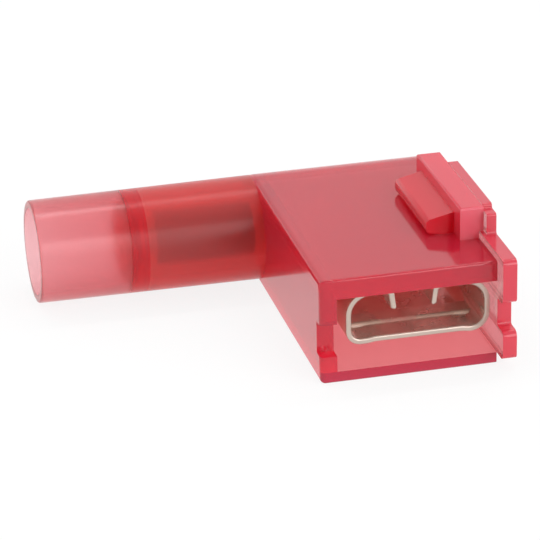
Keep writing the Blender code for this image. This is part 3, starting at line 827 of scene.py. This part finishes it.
class TERMINAL_OT_side_cover(Operator):
    """Build the side cover, snapped on at the open side of the housing"""

    bl_idname = "terminal.side_cover"
    bl_label = "Side cover"

    def execute(self, context):
        scene = context.scene
        at = Places(scene)
        box = scene.housing_sizes
        cover = scene.cover_sizes
        radius = box.height / 2
        upper = at.front - cover.upper_reach
        lower = at.front - cover.lower_reach
        rail_end = at.tube_y - cover.rail_end
        ledge = at.block_top - cover.ledge_drop
        step = at.upright_front + cover.ledge_length
        outline = [(rail_end, box.height), (rail_end, at.cover_top)]
        outline += [(at.upright_rear, at.cover_top), (at.upright_rear, at.block_top)]
        outline += [(step, at.block_top), (step, ledge), (at.upright_front, ledge)]
        outline += [(at.upright_front, at.cover_top), (upper, at.cover_top)]
        outline += [(upper, cover.upper_bottom), (at.front, cover.upper_bottom)]
        outline += [(at.front, cover.lower_top), (lower, cover.lower_top)]
        outline += [(lower, cover.bottom), (at.tube_y, cover.bottom)]
        corner = cover.corner
        small = corner / 2
        radii = [0, small, small / 2, small, small, small / 2, small, small]
        radii += [corner, corner, small, small, 1.1 * corner, 0.85 * corner, 0]
        points = rounded(outline, radii, 8)
        low = math.asin((cover.bottom - at.tube_z) / radius)
        points += arc_points((at.tube_y, at.tube_z), radius, low, math.pi / 2, 36)
        plate = extruded("side_cover_moulding", points, at.cover_inner, at.cover_outer, ALONG_X)

        def rim_edge(first, second):
            if max(abs(end.x - at.cover_outer) for end in (first, second)) < HAIR:
                return 1.0
            on_inner = max(abs(end.x - at.cover_inner) for end in (first, second)) < HAIR
            return 0.5 * float(on_inner)

        plate = round_edges(plate, rim_edge, cover.edge, 4)
        past = 0.5 * MM
        relief = block_between("upright_relief",
                               (at.cover_inner - past, at.upright_front - past,
                                at.cover_top + 0.02 * MM),
                               (at.cover_outer - cover.upright_thickness,
                                at.upright_rear + past, at.block_top + past))
        plate = combine(plate, [relief], "DIFFERENCE")
        add_skins(plate, COVER_SKINS, scene.finish_settings)
        for face in plate.data.polygons:
            face.material_index = 1 if abs(face.normal.x) > 0.99 else 0
        smooth(plate)
        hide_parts("side_cover")
        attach(plate, "root")
        return {"FINISHED"}


def roll_path(at, metal):
    """Middle line of the rolled sheet, seen from the front, left tip to right tip."""
    half = metal.stock / 2
    bend = metal.roll_left - half
    other = metal.roll_right - half
    over = metal.roll_top - half
    top = at.metal_top - half
    bottom = at.floor_middle
    left = at.metal_left + half
    right = at.metal_right - half
    tip_left = at.metal_x + metal.tip_offset - metal.tip_gap / 2
    tip_right = at.metal_x + metal.tip_offset + metal.tip_gap / 2
    tip_end = at.metal_top - metal.tip_drop
    turn = metal.tip_bend
    lean = metal.tip_slant
    path = []
    for step in range(5):
        share = step / 5
        path.append((tip_left - lean * share, tip_end + (top - turn - tip_end) * share))
    path += arc_points((tip_left - lean - turn, top - turn), turn, 0, math.pi / 2, 8)
    path += arc_points((left + over, top - over), over, math.pi / 2, math.pi, 18)
    path += arc_points((left + bend, bottom + bend), bend, math.pi, 3 * math.pi / 2, 18)
    for step in range(1, 36):
        path.append((left + bend + (right - other - left - bend) * step / 36, bottom))
    path += arc_points((right - other, bottom + other), other, -math.pi / 2, 0, 18)
    path += arc_points((right - over, top - over), over, 0, math.pi / 2, 18)
    path += arc_points((tip_right + lean + turn, top - turn), turn, math.pi / 2, math.pi, 8)
    for step in range(4, -1, -1):
        share = step / 5
        path.append((tip_right + lean * share, tip_end + (top - turn - tip_end) * share))
    return path


def inside(point, path):
    """Whether a point lies within the closed line of x and z pairs."""
    within = False
    for index, (x, z) in enumerate(path):
        before_x, before_z = path[index - 1]
        if (z > point.z) != (before_z > point.z):
            crossing = x + (before_x - x) * (point.z - z) / (before_z - z)
            if point.x < crossing:
                within = not within
    return within


def receptacle_rows(at, metal):
    """Rows of points over the rolled sheet, with the floor's bow and its bead."""
    path = roll_path(at, metal)
    bead_front = at.metal_front + metal.bead_setback
    bead_rear = bead_front + metal.bead_width
    edge = metal.bead_slope
    stops = [at.metal_front, bead_front - 0.5 * MM]
    stops += [bead_front - edge * (1 - step / 8) for step in range(9)]
    stops += [bead_rear + edge * step / 8 for step in range(9)]
    stops += [bead_rear + 0.5 * MM, at.metal_rear]
    rows = []
    for y in stops:
        rise = min(ease((y - bead_front + edge) / edge), ease((bead_rear + edge - y) / edge))
        row = []
        for x, z in path:
            low = z < at.floor_middle + 0.35 * metal.height
            bow = metal.floor_bow * ease((2.75 * MM - abs(x - at.metal_x)) / (0.5 * MM))
            height = z + bow if low else z
            level = at.floor_middle + metal.bead_rise
            if low and height < level:
                height += (level - height) * rise
            row.append((x, y, height))
        rows.append(row)
    return rows


def sheet(name, rows, thickness):
    """A sheet through rows of points, with thickness about its middle."""
    bm = bmesh.new()
    grid = [[bm.verts.new(point) for point in row] for row in rows]
    for upper, lower in zip(grid, grid[1:]):
        for index in range(len(upper) - 1):
            bm.faces.new((upper[index], upper[index + 1], lower[index + 1], lower[index]))
    bmesh.ops.remove_doubles(bm, verts=bm.verts, dist=1e-7)
    bmesh.ops.recalc_face_normals(bm, faces=bm.faces)
    item = placed(name, mesh_from(name, bm))
    solidify = item.modifiers.new("Stock", "SOLIDIFY")
    solidify.thickness = thickness
    solidify.offset = 0
    solidify.use_even_offset = True
    return settled(item, name)


def strap(at, metal):
    """Flat strap behind the receptacle, which turns left towards the barrel."""
    neck = 0.9 * MM
    left = at.metal_x - metal.strap_width / 2
    right = at.metal_x + metal.strap_width / 2
    front = at.metal_rear - 0.4 * MM
    rear = at.tube_y + metal.strap_arm / 2
    arm_front = at.tube_y - metal.strap_arm / 2
    arm_end = at.neck_start + metal.neck_length + 0.1 * MM
    outline = [(left - neck, front), (right + neck, front), (right + neck, at.metal_rear)]
    outline += [(right, at.metal_rear + neck), (right, rear), (arm_end, rear)]
    outline += [(arm_end, arm_front), (left, arm_front), (left, at.metal_rear + neck)]
    outline.append((left - neck, at.metal_rear))
    soft = 0.7 * MM
    radii = [0, 0, soft / 3, soft, 2 * soft, 0, 0, soft, soft, soft / 3]
    low = at.metal_bottom
    return extruded("strap", rounded(outline, radii), low, low + metal.stock, UPRIGHT)


def barrel_neck(at, metal):
    """Formed neck that turns from the flat strap into the lower half of the barrel."""
    radius = metal.barrel_radius - metal.barrel_wall / 2
    places = [(at.neck_start - 0.5 * MM, 0.0)]
    for step in range(17):
        share = step / 16
        places.append((at.neck_start + metal.neck_length * share, ease(share)))
    places.append((at.neck_start + metal.neck_length + 0.5 * MM, 1.0))
    rows = []
    for x, blend in places:
        row = []
        for place in range(25):
            across = -1 + place / 12
            angle = across * math.radians(78)
            round_y = radius * math.sin(angle)
            round_z = at.tube_z - radius * math.cos(angle)
            flat_y = across * (metal.strap_arm - 0.04 * MM) / 2
            y = at.tube_y + round_y + (flat_y - round_y) * blend
            row.append((x, y, round_z + (at.floor_middle - round_z) * blend))
        rows.append(row)
    return sheet("barrel_neck", rows, metal.stock * 0.98)


def barrel(at, box, metal):
    """Round wire barrel, with a chamfered and slightly flared mouth."""
    outer = metal.barrel_radius
    inner = outer - metal.barrel_wall
    flare = metal.barrel_flare
    start = at.shoulder - metal.barrel_gap
    end = -box.wall_left - 1.0 * MM
    edge = 0.08 * MM
    profile = [(inner + 2 * edge, start), (outer + flare - edge, start)]
    profile += [(outer + flare, start - edge), (outer + flare, start - 0.55 * MM)]
    profile += [(outer, start - 0.80 * MM), (outer, end), (inner, end)]
    profile.append((inner, start - 2 * edge))
    return turned("barrel", profile, 96, (at.left, at.tube_y, at.tube_z), closed=True)


class TERMINAL_OT_stamping(Operator):
    """Build the stamped terminal: rolled receptacle, strap and wire barrel"""

    bl_idname = "terminal.stamping"
    bl_label = "Stamped terminal"

    def execute(self, context):
        scene = context.scene
        at = Places(scene)
        box = scene.housing_sizes
        metal = scene.stamping_sizes
        body = sheet("stamped_terminal", receptacle_rows(at, metal), metal.stock)
        joined = [strap(at, metal), barrel_neck(at, metal), barrel(at, box, metal)]
        body = combine(body, joined, "UNION")

        middle_line = roll_path(at, metal)

        def at_mouth(first, second):
            return max(first.y, second.y) < at.metal_front + CLOSE

        def coined_edge(first, second):
            return at_mouth(first, second) and inside((first + second) / 2, middle_line)

        def cut_edge(first, second):
            return at_mouth(first, second) and not inside((first + second) / 2, middle_line)

        def tip_edge(first, second):
            lies_along = math.hypot(first.x - second.x, first.z - second.z) < HAIR
            ends = (middle_line[0], middle_line[-1])
            near = min(math.hypot(first.x - x, first.z - z) for x, z in ends)
            return lies_along and near < 0.6 * metal.stock

        soften(body, metal.tip_radius, 4, tip_edge)
        soften(body, metal.coined, 3, coined_edge, clamp=False)
        soften(body, 0.05 * MM, 2, cut_edge, clamp=False)
        body.data.materials.clear()
        # Split the faces where the barrel's painted shade ends
        divide(body, (at.left - metal.barrel_light, 0, 0), (1, 0, 0))
        for name, tone, roughness, relief, gloss in METALS:
            body.data.materials.append(metal_material(
                name, getattr(scene.finish_settings, tone), roughness, relief, gloss))
        middle = Vector((at.metal_x, 0, at.floor_middle + metal.height / 2))
        for face in body.data.polygons:
            # Outward faces of the barrel in the tube get painted shade; its light end, its bore and
            # its end keep the tin
            out = Vector((0, face.center.y - at.tube_y, face.center.z - at.tube_z))
            in_tube = face.center.x < at.left - metal.barrel_light
            outward = in_tube and out.normalized().dot(face.normal) > 0.3
            face.material_index = BARREL_SHADE if outward else PLATE
            # Faces turned into the receptacle get the tin with painted shade
            inward = (middle - face.center) * Vector((1, 0, 1))
            if face.center.x > at.metal_left and inward.dot(face.normal) > 0:
                face.material_index = SHADED
            if face.normal.y < -0.3 and face.center.y < at.metal_front + 0.2 * MM:
                face.material_index = CUT
        smooth(body)
        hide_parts("terminal")
        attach(body, "root")
        return {"FINISHED"}


def area_light(name, place, aim, size, power):
    """A white rectangular light that faces the aim."""
    light = bpy.data.lights.new(name, "AREA")
    light.shape = "RECTANGLE"
    light.size = size[0]
    light.size_y = size[1]
    light.energy = power
    item = placed(name, light)
    item.location = place
    item.rotation_euler = (Vector(aim) - Vector(place)).to_track_quat("-Z", "Y").to_euler()


def studio_floor(finish):
    """Pale floor, near white to the camera and in what the nylon shows of it."""
    bm = bmesh.new()
    bmesh.ops.create_grid(bm, x_segments=8, y_segments=8, size=1.0)
    mesh = mesh_from("studio_floor", bm)
    floor = placed("studio_floor", mesh)
    material = bpy.data.materials.new("studio floor")
    material.use_nodes = True
    tree = material.node_tree
    shader = tree.nodes["Principled BSDF"]
    shader.inputs["Base Color"].default_value = (*finish.floor, 1.0)
    shader.inputs["Roughness"].default_value = 0.9
    shader.inputs["Specular IOR Level"].default_value = 0.0
    white = add(tree, "Emission")
    path = add(tree, "LightPath")
    seen = add(tree, "Math", None, "ADD")
    share = add(tree, "Math", {1: 1.0}, "MULTIPLY_ADD")
    share.use_clamp = True
    weight = add(tree, "Math", {1: 0.85}, "MULTIPLY")
    mix = add(tree, "MixShader")
    wire(tree, path, "Is Camera Ray", seen, 0)
    wire(tree, path, "Is Glossy Ray", seen, 1)
    wire(tree, path, "Is Transmission Ray", share, 0)
    wire(tree, seen, 0, share, 2)
    wire(tree, share, 0, weight, 0)
    wire(tree, weight, 0, mix, "Fac")
    wire(tree, shader, "BSDF", mix, 1)
    wire(tree, white, "Emission", mix, 2)
    wire(tree, mix, "Shader", tree.nodes["Material Output"], "Surface")
    mesh.materials.append(material)
    return floor


def studio_world():
    """White surroundings that grow dimmer on the camera's side."""
    world = bpy.data.worlds.new("soft studio")
    world.use_nodes = True
    tree = world.node_tree
    back = tree.nodes["Background"]
    back.inputs["Color"].default_value = (1.0, 1.0, 1.0, 1.0)
    place = add(tree, "TexCoord")
    split = add(tree, "SeparateXYZ")
    wire(tree, place, "Generated", split, "Vector")
    fall = add(tree, "MapRange")
    fall.interpolation_type = "SMOOTHSTEP"
    levels = {"From Min": 0.0, "From Max": -0.7, "To Min": 1.0, "To Max": 0.45}
    for socket, value in levels.items():
        fall.inputs[socket].default_value = value
    wire(tree, split, "Y", fall, "Value")
    wire(tree, fall, "Result", back, "Strength")
    bpy.context.scene.world = world


def studio_camera(at, stage):
    """Camera at the photograph's angle, from the fit of its edges."""
    azimuth, elevation, roll = stage.azimuth, stage.elevation, stage.roll
    flat = math.cos(elevation)
    view = Vector((math.sin(azimuth) * flat, math.cos(azimuth) * flat, -math.sin(elevation)))
    level = Vector((math.cos(azimuth), -math.sin(azimuth), 0))
    rise = level.cross(view)
    right = level * math.cos(roll) + rise * math.sin(roll)
    up = rise * math.cos(roll) - level * math.sin(roll)
    target = Vector((0, at.front + 3.0 * MM, 2.5 * MM))
    target += right * stage.aim_right + up * stage.aim_up
    camera = placed("photo_camera", bpy.data.cameras.new("photo_camera"))
    camera.data.sensor_width = 36.0
    camera.data.lens = stage.lens
    camera.data.clip_start = 0.005
    camera.data.clip_end = 20.0
    rotation = Matrix((right, up, -view)).transposed().to_4x4()
    camera.matrix_world = Matrix.Translation(target - view * stage.distance) @ rotation
    bpy.context.scene.camera = camera


class TERMINAL_OT_stage(Operator):
    """Set up the pale floor, the soft light and the camera"""

    bl_idname = "terminal.stage"
    bl_label = "Stage"

    def execute(self, context):
        scene = context.scene
        scene.view_settings.view_transform = "Standard"
        at = Places(scene)
        studio_floor(scene.finish_settings)
        studio_world()
        area_light("overhead strip", (0, 0.095, 0.29), (0, 0.004, 0), (0.40, 0.020), 0.20)
        area_light("front softbox", (0.34, -0.47, 0.20), (0, 0, 0), (0.60, 0.50), 2.7)
        studio_camera(at, scene.stage_settings)
        for name, count in BOUNCES.items():
            setattr(scene.cycles, name, count)
        return {"FINISHED"}


class TERMINAL_PT_panel(Panel):
    """Buttons and sizes for the terminal"""

    bl_idname = "TERMINAL_PT_panel"
    bl_label = "Flag spade terminal"
    bl_space_type = "VIEW_3D"
    bl_region_type = "UI"
    bl_category = "Terminal"

    def draw(self, context):
        layout = self.layout
        for operator in (TERMINAL_OT_housing, TERMINAL_OT_side_cover, TERMINAL_OT_stamping,
                         TERMINAL_OT_stage):
            layout.operator(operator.bl_idname)
        for group in ("housing_sizes", "cover_sizes", "stamping_sizes", "finish_settings",
                      "stage_settings"):
            settings = getattr(context.scene, group)
            column = layout.column(align=True)
            for name in settings.__annotations__:
                column.prop(settings, name)


GROUPS = {
    "housing_sizes": HousingSizes,
    "cover_sizes": CoverSizes,
    "stamping_sizes": StampingSizes,
    "finish_settings": FinishSettings,
    "stage_settings": StageSettings,
}
OTHERS = (TERMINAL_OT_housing, TERMINAL_OT_side_cover, TERMINAL_OT_stamping,
          TERMINAL_OT_stage, TERMINAL_PT_panel)


def register():
    """Add the settings, the operators and the panel."""
    for name, group in GROUPS.items():
        bpy.utils.register_class(group)
        setattr(bpy.types.Scene, name, PointerProperty(type=group))
    for item in OTHERS:
        bpy.utils.register_class(item)


def unregister():
    """Take away what register added."""
    for item in reversed(OTHERS):
        bpy.utils.unregister_class(item)
    for name, group in GROUPS.items():
        delattr(bpy.types.Scene, name)
        bpy.utils.unregister_class(group)


def main():
    """Build the pieces and the stage."""
    register()
    bpy.ops.terminal.housing()
    bpy.ops.terminal.side_cover()
    bpy.ops.terminal.stamping()
    bpy.ops.terminal.stage()


if __name__ == "__main__":
    main()
